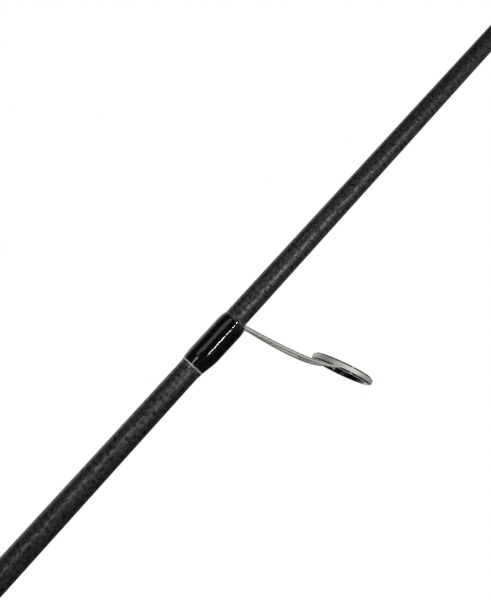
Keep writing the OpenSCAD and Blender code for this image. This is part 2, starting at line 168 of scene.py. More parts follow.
def sweep(path, across, up, width, height, around=20, power=2.6):
    """A closed bar with a rounded oblong section along a path; across and up give its two directions."""
    turn = angles(around)
    flat = np.sign(np.cos(turn)) * np.abs(np.cos(turn)) ** (2 / power)
    tall = np.sign(np.sin(turn)) * np.abs(np.sin(turn)) ** (2 / power)
    rings = []
    for p, a, u, w, h in zip(path, across, up, width, height):
        rings.append(p + np.outer(flat * w / 2, a) + np.outer(tall * h / 2, u))
    return loft(rings, closed=False)


def mesh_of(name, shells, scale=MM):
    """One mesh from several (points, faces) shells, with doubles merged and its faces turned outwards."""
    points, faces = [], []
    for shell_points, shell_faces in shells:
        start = len(points)
        points += (np.asarray(shell_points) * scale).tolist()
        faces += [[start + i for i in face] for face in shell_faces]
    mesh = bpy.data.meshes.new(name)
    mesh.from_pydata(points, [], faces)
    work = bmesh.new()
    work.from_mesh(mesh)
    bmesh.ops.remove_doubles(work, verts=work.verts, dist=1e-4 * scale)
    bmesh.ops.recalc_face_normals(work, faces=work.faces)
    work.to_mesh(mesh)
    work.free()
    return mesh


def placed(name, data):
    """A new object in the scene that shows a mesh, a lamp or a camera."""
    obj = bpy.data.objects.new(name, data)
    bpy.context.scene.collection.objects.link(obj)
    return obj


def piece(name, mesh, body, material, nodes, crease=40):
    """Puts a mesh, or a list of shells, in the scene: it rides on a body and stands for some CAD nodes."""
    if isinstance(mesh, list):
        mesh = mesh_of(name, mesh)
    obj = placed(name, mesh)
    mesh.materials.append(material)
    mesh.shade_smooth()
    mesh.set_sharp_from_angle(angle=math.radians(crease))
    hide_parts(*nodes)
    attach(obj, body)


def joined(name, shells):
    """Joins overlapping closed shells into one solid skin."""
    labels = [f"{name}_{i}" for i in range(len(shells))]
    parts = [placed(label, mesh_of(label, [shell], scale=1.0)) for label, shell in zip(labels, shells)]
    first = parts[0]
    for part in parts[1:]:
        union = first.modifiers.new("union", "BOOLEAN")
        union.operation = "UNION"
        union.solver = "EXACT"
        union.object = part
    bpy.context.view_layer.update()
    whole = bpy.data.meshes.new_from_object(first.evaluated_get(bpy.context.evaluated_depsgraph_get()))
    whole.transform(Matrix.Scale(MM, 4))
    whole.name = name
    for part in parts:
        mesh = part.data
        bpy.data.objects.remove(part)
        bpy.data.meshes.remove(mesh)
    return whole


# ---- materials ----

def shader_of(name, **values):
    """A new material and its tree. Values go straight on the shader's own sockets."""
    material = bpy.data.materials.new(name)
    material.use_nodes = True
    tree = material.node_tree
    shader = tree.nodes["Principled BSDF"]
    for key, value in values.items():
        shader.inputs[key.replace("_", " ")].default_value = value
    return material, tree, shader


def node(tree, kind, inputs=(), **settings):
    """Adds a node; inputs are (socket, value or link) pairs."""
    made = tree.nodes.new(kind)
    for key, value in settings.items():
        setattr(made, key, value)
    for key, value in inputs:
        if isinstance(value, bpy.types.NodeSocket):
            tree.links.new(value, made.inputs[key])
        else:
            made.inputs[key].default_value = value
    return made


def calc(tree, operation, a, b=0.0, c=0.0):
    """Output of a math node on values or links."""
    return node(tree, "ShaderNodeMath", [(0, a), (1, b), (2, c)], operation=operation).outputs[0]


def place(tree):
    """Object coordinates in metres: the vector, and its X, Y and Z."""
    vector = node(tree, "ShaderNodeTexCoord").outputs["Object"]
    split = node(tree, "ShaderNodeSeparateXYZ", [(0, vector)])
    return vector, split.outputs[0], split.outputs[1], split.outputs[2]


def noise(tree, vector, size, detail=3.0, rough=0.6, stretch=(1, 1, 1)):
    """Noise whose blotches are about size millimetres across."""
    scaled = node(tree, "ShaderNodeMapping", [("Vector", vector), ("Scale", stretch)]).outputs[0]
    inputs = [("Vector", scaled), ("Scale", 1 / (size * MM)), ("Detail", detail), ("Roughness", rough)]
    return node(tree, "ShaderNodeTexNoise", inputs).outputs[0]


def ramp(tree, value, *stops):
    """Colour ramp through (place, grey or colour) stops."""
    made = node(tree, "ShaderNodeValToRGB", [(0, value)])
    steps = made.color_ramp.elements
    while len(steps) < len(stops):
        steps.new(0.5)
    for step, (at, colour) in zip(steps, stops):
        step.position = at
        step.color = (*colour, 1) if isinstance(colour, tuple) else (colour, colour, colour, 1)
    return made.outputs[0]


def mix(tree, share, link, colour):
    """Blends a linked colour with a fixed one; share 1 is the fixed one alone."""
    inputs = [(0, share), (6, link), (7, (*colour, 1))]
    return node(tree, "ShaderNodeMix", inputs, data_type="RGBA").outputs[2]


def rough_range(tree, shader, value, low, high):
    """Roughness from low where the value is 0 to high where it is 1."""
    inputs = [(0, value), (3, low), (4, high)]
    tree.links.new(node(tree, "ShaderNodeMapRange", inputs).outputs[0], shader.inputs["Roughness"])


def bump(tree, shader, height, depth, strength=1.0):
    """Depth is the bump's full height in millimetres."""
    inputs = [("Height", height), ("Strength", strength), ("Distance", depth * MM)]
    tree.links.new(node(tree, "ShaderNodeBump", inputs).outputs[0], shader.inputs["Normal"])


def carbon():
    """Satin blank: a crossed weave under a matt finish, with cloudy mottles and a faint tape spiral."""
    material, tree, shader = shader_of("satin_carbon", IOR=1.6)
    vector, x, y, z = place(tree)
    tape_pitch = 5.3
    turn = calc(tree, "ARCTAN2", y, x)
    wobble = calc(tree, "MULTIPLY", noise(tree, vector, 1.8, 3), 4.0)
    along = calc(tree, "MULTIPLY", z, TURN / (tape_pitch * MM))
    around = calc(tree, "MULTIPLY", turn, 6.0)
    one = calc(tree, "SINE", calc(tree, "ADD", calc(tree, "ADD", around, along), wobble))
    two = calc(tree, "SINE", calc(tree, "ADD", calc(tree, "SUBTRACT", around, along), wobble))
    weave = calc(tree, "MULTIPLY_ADD", calc(tree, "MULTIPLY", one, two), 0.5, 0.5)
    mottle = noise(tree, vector, 1.3, 4, 0.7)
    fleck = noise(tree, vector, 0.5, 3, 0.6)
    sharp = ramp(tree, mottle, (0.36, 0.0), (0.6, 1.0))
    specks = ramp(tree, fleck, (0.36, 0.0), (0.64, 1.0))
    blotch = calc(tree, "ADD", calc(tree, "MULTIPLY", sharp, 0.55), calc(tree, "MULTIPLY", specks, 0.2))
    grain = calc(tree, "ADD", calc(tree, "MULTIPLY", weave, 0.25), blotch)
    middle, light = (0.018, 0.0172, 0.0177), (0.044, 0.042, 0.0424)
    tone = ramp(tree, grain, (0.1, 0.001), (0.5, middle), (0.9, light))
    tree.links.new(tone, shader.inputs["Base Color"])
    gleam = ramp(tree, grain, (0.1, 0.03), (0.45, 0.4), (0.9, 0.85))
    tree.links.new(gleam, shader.inputs["Specular IOR Level"])
    rough_range(tree, shader, grain, 0.46, 0.35)
    spiral = calc(tree, "SINE", calc(tree, "ADD", along, turn))
    height = calc(tree, "ADD", calc(tree, "MULTIPLY", spiral, 0.2), grain)
    bump(tree, shader, height, 0.03, 0.8)
    return material


def gloss_carbon():
    """Ground and waxed spigot: fine lengthwise fibres under gloss."""
    material, tree, shader = shader_of("waxed_carbon", IOR=1.5, Coat_Weight=0.6, Coat_Roughness=0.12)
    vector = place(tree)[0]
    fibres = noise(tree, vector, 0.25, 4, 0.7, (1, 1, 0.03))
    tree.links.new(ramp(tree, fibres, (0.35, 0.008), (0.7, 0.05)), shader.inputs["Base Color"])
    rough_range(tree, shader, fibres, 0.45, 0.25)
    bump(tree, shader, fibres, 0.01)
    return material


CORK_RING = 12.7


def cork():
    """Turned cork: rings of slightly different tone, dark lenticels and fine grain."""
    material, tree, shader = shader_of("turned_cork", IOR=1.4)
    vector, *_, z = place(tree)
    ring = calc(tree, "DIVIDE", z, CORK_RING * MM)
    number = calc(tree, "FLOOR", ring)
    own = node(tree, "ShaderNodeTexWhiteNoise", [("W", number)], noise_dimensions="1D").outputs[0]
    grain = noise(tree, vector, 1.1, 5, 0.7)
    patch = noise(tree, vector, 7.0, 3)
    deep, warm, pale = (0.30, 0.165, 0.075), (0.55, 0.34, 0.175), (0.68, 0.46, 0.26)
    base = ramp(tree, grain, (0.32, deep), (0.5, warm), (0.7, pale))
    toned = mix(tree, calc(tree, "MULTIPLY", own, 0.45), base, (0.46, 0.27, 0.13))
    cloudy = mix(tree, calc(tree, "MULTIPLY", patch, 0.4), toned, (0.72, 0.52, 0.32))
    spacing = 3.4
    cells = node(tree, "ShaderNodeTexVoronoi", [("Vector", vector), ("Scale", 1 / (spacing * MM))])
    crumble = calc(tree, "MULTIPLY", noise(tree, vector, 0.8, 4), 0.5)
    worn = calc(tree, "ADD", cells.outputs["Distance"], crumble)
    pits = ramp(tree, worn, (0.30, 1.0), (0.42, 0.0))
    pitted = mix(tree, pits, cloudy, (0.13, 0.065, 0.03))
    edge = calc(tree, "ABSOLUTE", calc(tree, "SUBTRACT", calc(tree, "FRACT", ring), 0.5))
    seam = ramp(tree, edge, (0.482, 0.0), (0.497, 1.0))
    seamed = mix(tree, calc(tree, "MULTIPLY", seam, 0.55), pitted, (0.2, 0.105, 0.05))
    tree.links.new(seamed, shader.inputs["Base Color"])
    rough_range(tree, shader, grain, 0.85, 0.65)
    height = calc(tree, "SUBTRACT", calc(tree, "MULTIPLY", grain, 0.5), pits)
    bump(tree, shader, height, 0.15, 0.7)
    return material


def moulded(name, tone, roughness, size=0.45, depth=0.03):
    """Moulded rubber, plastic or foam with a fine stipple and slight tone changes."""
    material, tree, shader = shader_of(name, IOR=1.48)
    vector = place(tree)[0]
    stipple = noise(tree, vector, size, 3, 0.6)
    cloud = noise(tree, vector, 9.0, 3)
    colour = ramp(tree, cloud, (0.3, tone * 0.7), (0.7, tone * 1.3))
    tree.links.new(colour, shader.inputs["Base Color"])
    rough_range(tree, shader, stipple, roughness + 0.1, roughness - 0.08)
    bump(tree, shader, stipple, depth)
    return material


def metal(name, colour, roughness, brushed=(1, 1, 1), metallic=1.0, spread=0.4):
    """Turned or polished metal: hairline brushing and faint smears. Spread varies the roughness."""
    material, tree, shader = shader_of(name, Metallic=metallic)
    vector = place(tree)[0]
    lines = noise(tree, vector, 0.12, 3, 0.6, brushed)
    smear = noise(tree, vector, 6.0, 4, 0.6)
    low, high = (tuple(c * k for c in colour) for k in (0.86, 1.08))
    tree.links.new(ramp(tree, smear, (0.3, low), (0.7, high)), shader.inputs["Base Color"])
    mixed = calc(tree, "ADD", calc(tree, "MULTIPLY", lines, 0.5), calc(tree, "MULTIPLY", smear, 0.5))
    rough_range(tree, shader, mixed, roughness * (1 - spread), roughness * (1 + spread))
    bump(tree, shader, lines, 0.002)
    return material


def ceramic():
    """Polished black ceramic with a trace of lapping."""
    material, tree, shader = shader_of("black_ceramic", IOR=1.5)
    vector = place(tree)[0]
    lap = noise(tree, vector, 0.2, 3)
    tone = ramp(tree, noise(tree, vector, 3.0), (0.3, 0.004), (0.7, 0.009))
    tree.links.new(tone, shader.inputs["Base Color"])
    rough_range(tree, shader, lap, 0.1, 0.2)
    bump(tree, shader, lap, 0.001)
    return material


def thread(name, colour, metallic, roughness, gleam=0.5):
    """Winding thread: twisted strands with a little fray. Its colour holds painted shade and highlight:
    darker in the grooves between strands and lighter on their crowns, mixed with random fray tone.
    """
    material, tree, shader = shader_of(name, Metallic=metallic, Specular_IOR_Level=gleam)
    vector, x, y, z = place(tree)
    strands, strand_pitch = 120.0, 0.2
    around = calc(tree, "MULTIPLY", calc(tree, "ARCTAN2", y, x), strands)
    along = calc(tree, "MULTIPLY", z, TURN / (strand_pitch * MM))
    strand = calc(tree, "SINE", calc(tree, "ADD", around, along))
    fray = noise(tree, vector, 0.3, 3)
    # painted shade and highlight: the strand wave darkens the grooves and lightens the crowns, and the fray
    # adds random tone
    strand_shade_and_fray = calc(tree, "MULTIPLY_ADD", strand, 0.25, fray)
    low, high = (tuple(c * k for c in colour) for k in (0.55, 1.3))
    tree.links.new(ramp(tree, strand_shade_and_fray, (0.2, low), (0.8, high)), shader.inputs["Base Color"])
    rough_range(tree, shader, fray, roughness - 0.1, roughness + 0.1)
    bump(tree, shader, strand, 0.02)
    return material


def epoxy():
    """Clear winding finish: glossy, with the slow waves that a brushed coat cures with."""
    material, tree, shader = shader_of("clear_epoxy", IOR=1.57, Transmission_Weight=1.0)
    shader.inputs["Base Color"].default_value = (0.93, 0.94, 0.96, 1)
    vector = place(tree)[0]
    wave = noise(tree, vector, 5.0, 1, 0.4, (1, 1, 0.5))
    rough_range(tree, shader, noise(tree, vector, 1.0, 3), 0.045, 0.07)
    bump(tree, shader, wave, 0.001, 0.4)
    return material


CARBON = carbon()
WAXED = gloss_carbon()
CORK = cork()
RUBBER = moulded("butt_rubber", 0.016, 0.62, 0.6, 0.05)
SEAT = moulded("seat_plastic", 0.014, 0.42, 0.35, 0.015)
FOAM = moulded("arbor_foam", 0.3, 0.8, 1.2, 0.2)
CHECK = metal("check_metal", (0.36, 0.37, 0.39), 0.22, (1, 1, 12))
HOOD = metal("hood_metal", (0.12, 0.125, 0.135), 0.24, (1, 1, 12))
NUT = metal("nut_metal", (0.035, 0.036, 0.038), 0.34, (1, 1, 6))
RING = metal("ring_metal", (0.62, 0.47, 0.2), 0.18, (1, 1, 14))
GUIDE = metal("guide_metal", (0.84, 0.815, 0.77), 0.62, metallic=0.8, spread=0.1)
CERAMIC = ceramic()
THREAD = thread("winding_thread", (0.0022, 0.0022, 0.0036), 0.0, 0.5, gleam=0.08)
METAL_THREAD = thread("metal_thread", (0.97, 0.92, 0.74), 0.45, 0.3)
EPOXY = epoxy()


# ---- blanks ----

def frame_body(cad_node):
    """Name of the moving body that a CAD node belongs to."""
    return frame["nodes"][cad_node]["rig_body"]


def blank(name, cad_node, z0, z1):
    """Tapered carbon tube with softened ends."""
    edge, sunk, step = 0.25, 0.15, 8.0
    stations = np.arange(z0 + step, z1 - step / 2, step)
    heights = np.concatenate([[z0, z0 + edge / 3, z0 + edge], stations, [z1 - edge, z1 - edge / 3, z1]])

    def outer(turn, z):
        end = min(z - z0, z1 - z)
        return blank_radius(z) - sunk * max(0.0, 1 - end / edge) ** 2

    tube = sleeve(heights, outer, lambda z: blank_radius(z) - wall(z), 144)
    piece(name, [tube], frame_body(cad_node), CARBON, [cad_node])


blank("butt_blank_shell", "butt_blank", BUTT_LO[2], BUTT_HI[2])
blank("tip_blank_shell", "tip_blank", TIP_LO[2], TIP_HI[2])


# ---- handle ----

def neck(z, r0, z0, r1, z1):
    """Radius along an S-shaped neck from r0 at z0 to r1 at z1."""
    t = np.clip((z - z0) / (z1 - z0), 0, 1)
    return (r0 + r1) / 2 + (r0 - r1) / 2 * np.cos(math.pi * t)


def cork_grip(name, cad_node, radius, seed):
    """Cork sleeve with real pits. Radius gives the turned shape for a height."""
    lo, hi = box(cad_node)
    z0, z1 = lo[2], hi[2]
    around, step, edge = 240, 0.45, 0.8
    turn = angles(around)
    heights = np.linspace(z0, z1, int((z1 - z0) / step))
    grid_turn, grid_z = np.meshgrid(turn, heights)
    end = np.minimum(grid_z - z0, z1 - grid_z)
    shape = radius(grid_z) - edge * 0.6 * np.clip(1 - end / edge, 0, 1) ** 2
    seam_depth, seam_width = 0.06, 0.35
    seams = np.abs((grid_z / CORK_RING + 0.5) % 1 - 0.5) * CORK_RING
    shape -= seam_depth * np.exp(-(seams / seam_width) ** 2)
    pits_per_mm = 4
    draw = np.random.default_rng(seed)
    for _ in range(int((z1 - z0) * pits_per_mm)):
        at_turn = draw.uniform(0, TURN)
        at_z = draw.uniform(z0, z1)
        wide = draw.uniform(0.3, 1.7) ** 1.2
        tall = draw.uniform(0.2, 0.55)
        depth = draw.uniform(0.08, 0.32)
        away = (grid_turn - at_turn + math.pi) % TURN - math.pi
        reach = (away * shape / wide) ** 2 + ((grid_z - at_z + 0.2 * np.sin(away * 30)) / tall) ** 2
        shape -= depth * np.exp(-reach * 1.5)
    rings = [ring_at(turn, r, z) for r, z in zip(shape, heights)]
    rings += [ring_at(turn, blank_radius(z), z) for z in heights[::-40]]
    rings.append(ring_at(turn, blank_radius(z0), z0))
    piece(name, [loft(rings)], "butt_section", CORK, [cad_node], crease=180)


def grips():
    """Three grips: the butt and fore grip narrow towards the tip, the rear one towards the butt."""
    hi = box("butt_grip")[1]
    cork_grip("butt_grip_cork", "butt_grip", lambda z: neck(z, hi[0], hi[2] - 20, 10.4, hi[2]), 3)
    rear_lo, rear_hi = box("rear_grip")
    belly = rear_lo[2] + 0.7 * (rear_hi[2] - rear_lo[2])
    cork_grip("rear_grip_cork", "rear_grip", lambda z: neck(z, 9.4, rear_lo[2], rear_hi[0], belly), 4)
    fore_lo, fore_hi = box("fore_grip")
    fall_z = fore_lo[2] + 8
    cork_grip("fore_grip_cork", "fore_grip", lambda z: neck(z, fore_hi[0], fall_z, 8.0, fore_hi[2]), 5)


def butt_cap():
    """Moulded cap with a rounded edge, three finger grooves and a shallow ring in its end face."""
    hi = box("butt_cap")[1]
    r, top = hi[0], hi[2]
    bore = blank_radius(top)
    edge_r, groove_deep, groove_half = 3, 0.55, 0.75
    face = [(0, 0), (r * 0.55, 0), (r * 0.56, 0.35), (r * 0.62, 0.35), (r * 0.63, 0)]
    edge = arc(r - edge_r, edge_r, edge_r, -math.pi / 2, 0, 14)
    side = []
    for z in (top - 9, top - 6, top - 3):
        for a in np.linspace(0, math.pi, 13):
            side.append((r - groove_deep * math.sin(a), z - groove_half * math.cos(a)))
    rim = [(r, top - 0.5), (r - 0.15, top - 0.15), (r - 0.5, top), (bore, top)]
    socket = [(bore, BUTT_LO[2]), (0, BUTT_LO[2])]
    cap = turned(face + edge + side + rim + socket, 160)
    piece("butt_cap_moulding", [cap], "butt_section", RUBBER, ["butt_cap"], 50)


def winding_check(name, cad_node, taper, fat_end_up):
    """Turned ring with two hairline grooves and rounded edges; its radius falls by the taper."""
    lo, hi = box(cad_node)
    z0, z1 = lo[2], hi[2]
    fat = hi[0]
    thin = fat - taper
    low, high = (thin, fat) if fat_end_up else (fat, thin)
    deep = 0.16
    steps = (0, 0), (0.3, 0), (0.36, deep), (0.42, 0), (0.6, 0), (0.66, deep), (0.72, 0), (1, 0)
    side = []
    for share, sink in steps:
        bulge = 0.12 * math.sin(math.pi * share)
        side.append((low + (high - low) * share + bulge - sink, z0 + (z1 - z0) * share))
    outline = side + [(blank_radius(z1), z1), (blank_radius(z0), z0)]
    radii = [0.35] + [0.08] * 6 + [0.35, 0, 0]
    ring = turned(rounded(outline, radii), 144)
    piece(name, [ring], "butt_section", CHECK, [cad_node], 30)


grips()
butt_cap()
winding_check("butt_check_ring", "butt_check", 2.6, False)
winding_check("rear_check_ring", "rear_check", 1.8, True)
winding_check("fore_check_ring", "fore_check", 1.8, False)


# ---- reel seat ----

BARREL_R = 10.8
BORE_R = 8.0
FLAT_X = 9.3
HOOD_SHIFT = 1.6
SHELL_R = 14.5
HOUSING_R = 13.7
POCKET_R = 12.9
POCKET_LEN = 14
PITCH = 2.5
CREST = 0.5
NUT_BORE = 10.86


def seat_barrel():
    """Threaded barrel with the flat that the reel foot lies on; the crests keep the barrel's radius."""
    lo, hi = box("seat_body")
    z0, z1 = lo[2], hi[2]
    thread_z = z0 + 28
    edge = 0.4
    thread_heights = np.arange(thread_z - 1, z1 - 3, PITCH / 12)
    heights = np.concatenate([[z0, z0 + 10], thread_heights, [z1 - 2, z1 - edge, z1]])

    def outer(turn, z):
        phase = (z / PITCH - turn / TURN) % 1
        crest = CREST * smooth(np.abs(phase - 0.5) * 2, 0.25, 0.75)
        fade = smooth(z, thread_z, thread_z + 2) * (1 - smooth(z, z1 - 6, z1 - 4))
        r = BARREL_R - (CREST - crest) * fade
        r = r - 0.3 * max(0.0, 1 - (z1 - z) / edge)
        ahead = np.cos(turn) > 0.5
        return np.where(ahead, np.minimum(r, FLAT_X / np.maximum(np.cos(turn), 0.5)), r)

    barrel = sleeve(heights, outer, lambda z: BORE_R, 180)
    piece("seat_barrel", [barrel], "butt_section", SEAT, ["seat_body"], 35)


def seat_housing():
    """Moulded pocket at the butt end of the seat."""
    z0 = box("seat_body")[0][2]
    mouth = box("fixed_hood")[1][2] - 1
    bottom = mouth - POCKET_LEN
    core_r = 9
    s = HOOD_SHIFT
    outline = [(HOUSING_R, z0, s), (HOUSING_R, mouth, s), (POCKET_R, mouth, s),
               (POCKET_R, bottom, s), (core_r, bottom, 0), (core_r, z0, 0)]
    housing = turned(rounded(outline, [1.2, 0, 0, 0.4, 0, 0]), 144)
    piece("seat_housing", [housing], "butt_section", SEAT, ["seat_body"], 35)


def band(r, z, shift):
    """Outline points of a shallow turned groove."""
    wide, deep, slant = 1.2, 0.22, 0.25
    low = [(r, z, shift), (r - deep, z + slant, shift)]
    return low + [(r - deep, z + wide - slant, shift), (r, z + wide, shift)]


def fixed_hood():
    """Metal shell with a lip at the pocket's mouth and two turned bands."""
    lo, hi = box("fixed_hood")
    z0, z1 = lo[2], hi[2]
    s, r = HOOD_SHIFT, SHELL_R
    outline = [(r, z0, s), *band(r, z0 + 3, s), *band(r, z1 - 5, s), (r, z1, s),
               (POCKET_R, z1, s), (POCKET_R, z1 - 1, s), (HOUSING_R, z1 - 1, s), (HOUSING_R, z0, s)]
    radii = [0.5] + [0.12] * 8 + [0.6, 0.3, 0, 0, 0.3]
    shell = turned(rounded(outline, radii), 160)
    piece("fixed_hood_shell", [shell], "butt_section", HOOD, ["fixed_hood"], 30)


def sliding_hood():
    """Sliding metal shell; its back wall holds the nut's flange."""
    lo, hi = box("sliding_hood")
    z0, z1 = lo[2], hi[2]
    s, r = HOOD_SHIFT, SHELL_R
    back, bore = 1.4, 11.45
    outline = [(r, z0, s), *band(r, z0 + 3.5, s), *band(r, z1 - 5, s), (r, z1, s),
               (bore, z1, 0), (bore, z1 - back, 0), (HOUSING_R, z1 - back, s), (HOUSING_R, z0, s)]
    radii = [0.6] + [0.12] * 8 + [1.0, 0.3, 0.2, 0, 0.3]
    shell = turned(rounded(outline, radii), 160)
    piece("sliding_hood_shell", [shell], "hood", HOOD, ["sliding_hood"], 30)


def lock_nut():
    """Fluted nut with its neck and the flange that turns inside the hood."""
    lo, hi = box("lock_nut")
    body_top, flange_z = hi[2], lo[2]
    r, fluted_r, body_len = hi[0], 12.5, 18
    body_z = body_top - body_len
    flange_r, flange_len, neck_r = 11.95, 1.4, 11.35
    flutes, flute_r, sunk = 24, 0.9, 0.3
    flange = [(flange_r, flange_z), (flange_r, flange_z + flange_len), (neck_r, flange_z + flange_len)]
    side = [(r, z) for z in np.arange(body_z + 1.5, body_top - 1.4, 0.4)]
    bore = [(NUT_BORE, body_top), (NUT_BORE, flange_z)]
    outline = [*flange, (neck_r, body_z), (r, body_z), *side, (r, body_top), *bore]
    soft = [0.2, 0.2, 0, 0, 0.9] + [0] * len(side) + [0.9, 0.2, 0.2]
    turn = angles(flutes * 18)
    local = (turn * flutes / TURN + 0.5) % 1 - 0.5
    offset = np.abs(local) * TURN / flutes * r
    cut = np.maximum(0, np.sqrt(np.maximum(flute_r ** 2 - offset ** 2, 0)) - sunk)
    rings = []
    for radius, z in rounded(outline, soft):
        inside = smooth(z, body_z + 2, body_z + 3.2) * (1 - smooth(z, body_top - 3.2, body_top - 2))
        on_side = radius > fluted_r
        rings.append(ring_at(turn, radius - cut * inside * on_side, z))
    piece("lock_nut_body", [loft(rings)], "nut", NUT, ["lock_nut"], 30)


def nut_ring():
    """Polished ring with a turned groove."""
    lo, hi = box("nut_ring")
    r, z0, z1 = hi[0], lo[2], hi[2]
    groove = [(r, z0 + 0.8), (r - 0.2, z0 + 0.95), (r - 0.2, z0 + 1.1), (r, z0 + 1.25)]
    outline = [(r, z0), *groove, (r, z1), (NUT_BORE, z1), (NUT_BORE, z0)]
    radii = [0.3, 0.1, 0.05, 0.05, 0.1, 0.35, 0.15, 0.1]
    ring = turned(rounded(outline, radii), 160)
    piece("nut_trim_ring", [ring], "nut", RING, ["nut_ring"], 30)


seat_barrel()
seat_housing()
fixed_hood()
sliding_hood()
lock_nut()
nut_ring()


# ---- windings ----

THREAD_THICK = 0.3
THREAD_PITCH = 0.26


def hugging(turn, base, lift, side):
    """Radius of a winding over a foot on the +X or -X side: lifted there, and round all the way."""
    return base + lift * ((1 + side * np.cos(turn)) / 2) ** 2


def wound(z0, z1, thick, lift, side=1, around=120, rows=4, pitch=THREAD_PITCH, beads=0):
    """Turns of thread from z0 to z1 over whatever lifts them on one side. Beads make them a braid."""
    turns = max(2, round((z1 - z0) / pitch))
    pitch = (z1 - z0) / turns
    heights = np.linspace(z0, z1, turns * rows + 1)
    valley, bead_height, sunk = 0.11, 0.12, 0.15

    def outer(turn, z):
        phase = ((z - z0) / pitch) % 1
        crown = math.sqrt(max(0.0, 1 - (2 * phase - 1) ** 2))
        bead = bead_height * np.cos(beads * turn) if beads else 0
        top = thick - valley * (1 - crown) + thick * bead * crown
        return hugging(turn, blank_radius(z) + np.minimum(top, thick), lift(z), side)

    return sleeve(heights, outer, lambda z: blank_radius(z) - sunk, around)


def coated(z0, z1, thick, lift, ramp_in, ramp_out, side=1):
    """Clear coat from z0 to z1: a long ramp at the low end and a blunt shoulder at the high end."""
    heights = z0 + (z1 - z0) * np.linspace(0, 1, 120)
    bead_len, edge_sunk, sunk = 0.5, 0.03, 0.12

    def outer(turn, z):
        up = 0.25 * smooth(z, z0, z0 + bead_len) + 0.75 * smooth(z, z0, z0 + ramp_in)
        down = 1 - np.clip((z - (z1 - ramp_out)) / ramp_out, 0, 1) ** 2
        return hugging(turn, blank_radius(z) - edge_sunk + thick * up * down, lift(z), side)

    return sleeve(heights, outer, lambda z: blank_radius(z) - sunk, 144)


def flat_lift(z):
    """Lift of a winding with nothing under it."""
    return 0.0


def plain_winding(name, wrap_node, epoxy_node, body, low_tail, high_tail, coat=0.22):
    """Winding with no foot under it, on a ferrule or the tip-top. Its coat runs past it by the tails."""
    lo, hi = box(wrap_node)
    z0, z1 = lo[2], hi[2]
    turns = wound(z0, z1, THREAD_THICK, flat_lift)
    piece(name + "_thread", [turns], body, THREAD, [wrap_node], 60)
    shell = coated(z0 - low_tail, z1 + high_tail, THREAD_THICK + coat, flat_lift,
                   ramp_in=max(low_tail, 0.8) + 0.8, ramp_out=max(high_tail, 0.5) + 0.6)
    piece(name + "_coat", [shell], body, EPOXY, [epoxy_node], 60)


plain_winding("lower_ferrule", "lower_ferrule_wrap", "lower_ferrule_epoxy", "butt_section", 1.5, 0)
plain_winding("upper_ferrule", "upper_ferrule_wrap", "upper_ferrule_epoxy", "tip_section", 0.0, 1.5)
plain_winding("tip_top", "tip_top_wrap", "tip_top_epoxy", "tip_section", 1.5, 0.3, coat=0.18)


def keeper_windings():
    """Two short windings over the keeper's feet, on the side away from the guides."""
    lo, hi = box("keeper_wraps")
    base_lo, base_hi = box("keeper_base")
    span, lift, tail, coat = 8.0, 0.66, 0.6, 0.2
    ramp_in, ramp_out = 1.4, 1.6
    low_end = (lo[2], lo[2] + span, base_lo[2], 1)
    high_end = (hi[2] - span, hi[2], base_hi[2], -1)
    shells, coats = [], []
    for z0, z1, toe, sign in (low_end, high_end):
        def rise(z, toe=toe, sign=sign):
            return lift * float(smooth(sign * (z - toe), -1.0, 0.05))

        shells.append(wound(z0, z1, THREAD_THICK, rise, side=-1))
        coats.append(coated(z0 - tail, z1 + tail, THREAD_THICK + coat, rise, ramp_in, ramp_out, side=-1))
    piece("keeper_thread", shells, "butt_section", THREAD, ["keeper_wraps"], 60)
    piece("keeper_coat", coats, "butt_section", EPOXY, ["keeper_epoxy"], 60)


keeper_windings()


# ---- guides ----

# rise of a guide's leg along the rod, for each millimetre away from it
LEG_SLOPE = 0.358


def ring_lean():
    """Lean of the rings, from the first line ring's axis."""
    mount = next(m for m in frame["record"]["mounts"] if m["name"] == "line_ring_1")
    return math.asin(mount["axis"][0])


LEAN = ring_lean()
RING_UP = np.array([math.cos(LEAN), 0, math.sin(LEAN)])
RING_AXIS = np.array([-math.sin(LEAN), 0, math.cos(LEAN)])
SIDE = np.array([0, 1.0, 0])


def in_ring(centre, rings):
    """Carries turned rings from their own axis to a line ring's place."""
    points, faces = rings
    x, y, z = points.T
    return centre + np.outer(x, RING_UP) + np.outer(y, SIDE) + np.outer(z, RING_AXIS), faces


class LineRing:
    """Sizes of a ring and its collar, worked out from the ring's diameter and the frame."""

    def __init__(self, name):
        self.name = name
        lo, hi = box(name + "_frame")
        insert_lo, insert_hi = box(name + "_insert")
        self.size = hi[1] - lo[1]
        n = self.size
        self.centre = (insert_lo + insert_hi) / 2
        self.collar_len = 0.75 + 0.042 * n
        self.lip = 0.2 + 0.012 * n
        self.collar_bore = n / 2 - 0.35 - 0.022 * n
        self.insert_bore = self.collar_bore - 0.6 - 0.042 * n


class Guide(LineRing):
    """Sizes of one guide, worked out from its ring's diameter and the frame."""

    def __init__(self, number):
        super().__init__(f"guide_{number}")
        n = self.size
        wrap_lo, wrap_hi = box(self.name + "_wrap")
        self.wrap_z = wrap_lo[2]
        self.wrap_top = wrap_hi[2]
        self.leg_z = wrap_hi[2] + 0.9
        self.base_r = blank_radius(self.leg_z)
        self.height = self.centre[0] - self.base_r
        self.sheet = 0.6 + 0.024 * n
        self.arm_width = 0.9 + 0.052 * n
        self.foot_len = 5 + 0.68 * n
        self.foot_width = 2 + 0.05 * n
        self.foot_height = 0.35 + 0.018 * n
        self.coat = 0.15 + 0.01 * n

    def lift(self, z):
        """How far the foot lifts the winding off the blank."""
        toe = self.leg_z - self.foot_len - 0.5
        steep = smooth(z, toe, toe + 0.3 * self.foot_len)
        slow = np.clip((z - toe) / self.foot_len, 0, 1)
        return self.foot_height * float(0.8 * steep + 0.34 * slow)


def bezier(p, t):
    """Point of a cubic curve with four control points."""
    return (1 - t) ** 3 * p[0] + 3 * t * (1 - t) ** 2 * p[1] + 3 * t * t * (1 - t) * p[2] + t ** 3 * p[3]


